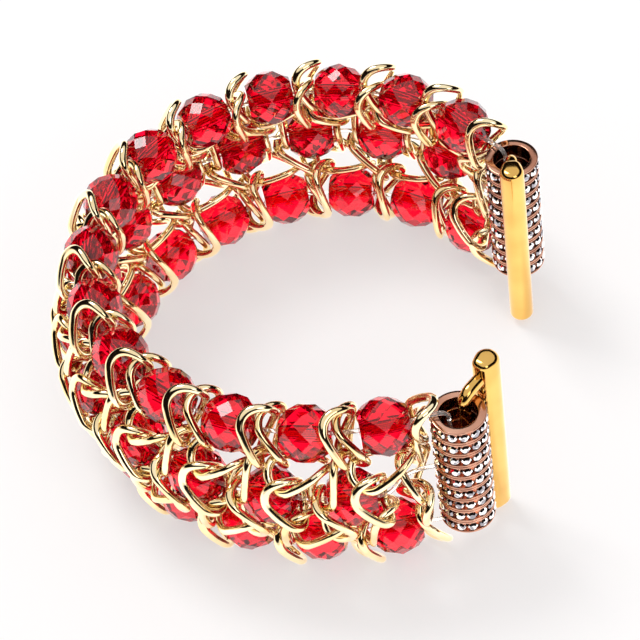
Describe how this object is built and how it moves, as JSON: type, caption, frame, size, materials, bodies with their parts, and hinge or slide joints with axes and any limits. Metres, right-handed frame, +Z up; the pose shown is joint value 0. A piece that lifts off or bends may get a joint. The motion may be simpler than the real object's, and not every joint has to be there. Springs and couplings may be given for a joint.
{
  "type": "bead watch band",
  "caption": "Stretch bead watch band: rows of red faceted beads woven with gold curb chain, with crystal-set rings and a slide-in adaptor at each end.",
  "frame": {"origin": "centre of the bounding box at the lowest point, on the surface the band stands on", "axes": "+Z up along the width of the band, -Y the long side nearest the camera, +X the open side where the watch goes"},
  "size_m": [0.0684, 0.079, 0.0314],
  "materials": {
    "ruby": "faceted, transparent, deep ruby red",
    "pale_gold": "mirror-polished pale gold plate",
    "rose_gold": "polished rose gold plate",
    "polished_gold": "polished yellow gold plate",
    "clear_stone": "clear cut crystal",
    "elastic": "clear elastic cord, slightly milky"
  },
  "bodies": {
    "column_06": {"middle_bead_06": "ruby", "chain_loop_06": "pale_gold", "outer_beads_07": "ruby", "cord_top": "elastic", "cord_middle": "elastic", "cord_bottom": "elastic"},
    "column_00": {"middle_bead_00": "ruby", "chain_loop_00": "pale_gold", "outer_beads_01": "ruby"},
    "column_01": {"middle_bead_01": "ruby", "chain_loop_01": "pale_gold", "outer_beads_02": "ruby"},
    "column_02": {"middle_bead_02": "ruby", "chain_loop_02": "pale_gold", "outer_beads_03": "ruby"},
    "column_03": {"middle_bead_03": "ruby", "chain_loop_03": "pale_gold", "outer_beads_04": "ruby"},
    "column_04": {"middle_bead_04": "ruby", "chain_loop_04": "pale_gold", "outer_beads_05": "ruby"},
    "column_05": {"middle_bead_05": "ruby", "chain_loop_05": "pale_gold", "outer_beads_06": "ruby"},
    "column_07": {"middle_bead_07": "ruby", "chain_loop_07": "pale_gold", "outer_beads_08": "ruby"},
    "column_08": {"middle_bead_08": "ruby", "chain_loop_08": "pale_gold", "outer_beads_09": "ruby"},
    "column_09": {"middle_bead_09": "ruby", "chain_loop_09": "pale_gold", "outer_beads_10": "ruby"},
    "column_10": {"middle_bead_10": "ruby", "chain_loop_10": "pale_gold", "outer_beads_11": "ruby"},
    "column_11": {"middle_bead_11": "ruby", "chain_loop_11": "pale_gold", "outer_beads_12": "ruby"},
    "column_12": {"middle_bead_12": "ruby", "chain_loop_12": "pale_gold", "outer_beads_13": "ruby"},
    "end_back": {"outer_beads_00": "ruby", "chain_end_back": "pale_gold"},
    "end_front": {"chain_end_front": "pale_gold"},
    "rings_back": {"ring_stack_back": "rose_gold", "ring_stones_back": "clear_stone", "lacing_cord_back": "elastic"},
    "adaptor_back": {"adaptor_bar_back": "polished_gold", "adaptor_tongue_back": "polished_gold"},
    "rings_front": {"ring_stack_front": "rose_gold", "ring_stones_front": "clear_stone", "lacing_cord_front": "elastic"},
    "adaptor_front": {"adaptor_bar_front": "polished_gold", "adaptor_tongue_front": "polished_gold"}
  },
  "joints": [
    {"name": "flex_07", "type": "hinge", "parent": "column_06", "child": "column_07", "pos_m": [-0.02654, -0.00409, 0.01572], "axis": [0, 0, 1], "range_deg": [-3, 4], "deforming": ["cord_top", "cord_middle", "cord_bottom"]},
    {"name": "flex_08", "type": "hinge", "parent": "column_07", "child": "column_08", "pos_m": [-0.02338, -0.01378, 0.01572], "axis": [0, 0, 1], "range_deg": [-3, 4]},
    {"name": "flex_09", "type": "hinge", "parent": "column_08", "child": "column_09", "pos_m": [-0.0174, -0.02205, 0.01572], "axis": [0, 0, 1], "range_deg": [-3, 4]},
    {"name": "flex_10", "type": "hinge", "parent": "column_09", "child": "column_10", "pos_m": [-0.00922, -0.02814, 0.01572], "axis": [0, 0, 1], "range_deg": [-3, 4]},
    {"name": "flex_11", "type": "hinge", "parent": "column_10", "child": "column_11", "pos_m": [0.00039, -0.03155, 0.01572], "axis": [0, 0, 1], "range_deg": [-3, 4]},
    {"name": "flex_12", "type": "hinge", "parent": "column_11", "child": "column_12", "pos_m": [0.01058, -0.03204, 0.01572], "axis": [0, 0, 1], "range_deg": [-3, 4]},
    {"name": "flex_13", "type": "hinge", "parent": "column_12", "child": "end_front", "pos_m": [0.02049, -0.02961, 0.01572], "axis": [0, 0, 1], "range_deg": [-3, 4]},
    {"name": "flex_06", "type": "hinge", "parent": "column_06", "child": "column_05", "pos_m": [-0.02654, 0.00611, 0.01572], "axis": [0, 0, -1], "range_deg": [-3, 4]},
    {"name": "flex_05", "type": "hinge", "parent": "column_05", "child": "column_04", "pos_m": [-0.02332, 0.01579, 0.01572], "axis": [0, 0, -1], "range_deg": [-3, 4]},
    {"name": "flex_04", "type": "hinge", "parent": "column_04", "child": "column_03", "pos_m": [-0.01716, 0.02392, 0.01572], "axis": [0, 0, -1], "range_deg": [-3, 4]},
    {"name": "flex_03", "type": "hinge", "parent": "column_03", "child": "column_02", "pos_m": [-0.00869, 0.0296, 0.01572], "axis": [0, 0, -1], "range_deg": [-3, 4]},
    {"name": "flex_02", "type": "hinge", "parent": "column_02", "child": "column_01", "pos_m": [0.00119, 0.03215, 0.01572], "axis": [0, 0, -1], "range_deg": [-3, 4]},
    {"name": "flex_01", "type": "hinge", "parent": "column_01", "child": "column_00", "pos_m": [0.01134, 0.03122, 0.01572], "axis": [0, 0, -1], "range_deg": [-3, 4]},
    {"name": "flex_00", "type": "hinge", "parent": "column_00", "child": "end_back", "pos_m": [0.02057, 0.02687, 0.01572], "axis": [0, 0, -1], "range_deg": [-3, 4]},
    {"name": "rings_swivel_front", "type": "hinge", "parent": "end_front", "child": "rings_front", "pos_m": [0.02842, -0.02643, 0.01572], "axis": [0, 0, 1], "range_deg": [-10, 10]},
    {"name": "rings_swivel_back", "type": "hinge", "parent": "end_back", "child": "rings_back", "pos_m": [0.02754, 0.02192, 0.01572], "axis": [0, 0, -1], "range_deg": [-10, 10]},
    {"name": "adaptor_swivel_front", "type": "hinge", "parent": "rings_front", "child": "adaptor_front", "pos_m": [0.03013, -0.02478, 0.01572], "axis": [0, 0, 1], "range_deg": [-43, 32]},
    {"name": "adaptor_swivel_back", "type": "hinge", "parent": "rings_back", "child": "adaptor_back", "pos_m": [0.02882, 0.01992, 0.01572], "axis": [0, 0, -1], "range_deg": [-43, 32]}
  ]
}
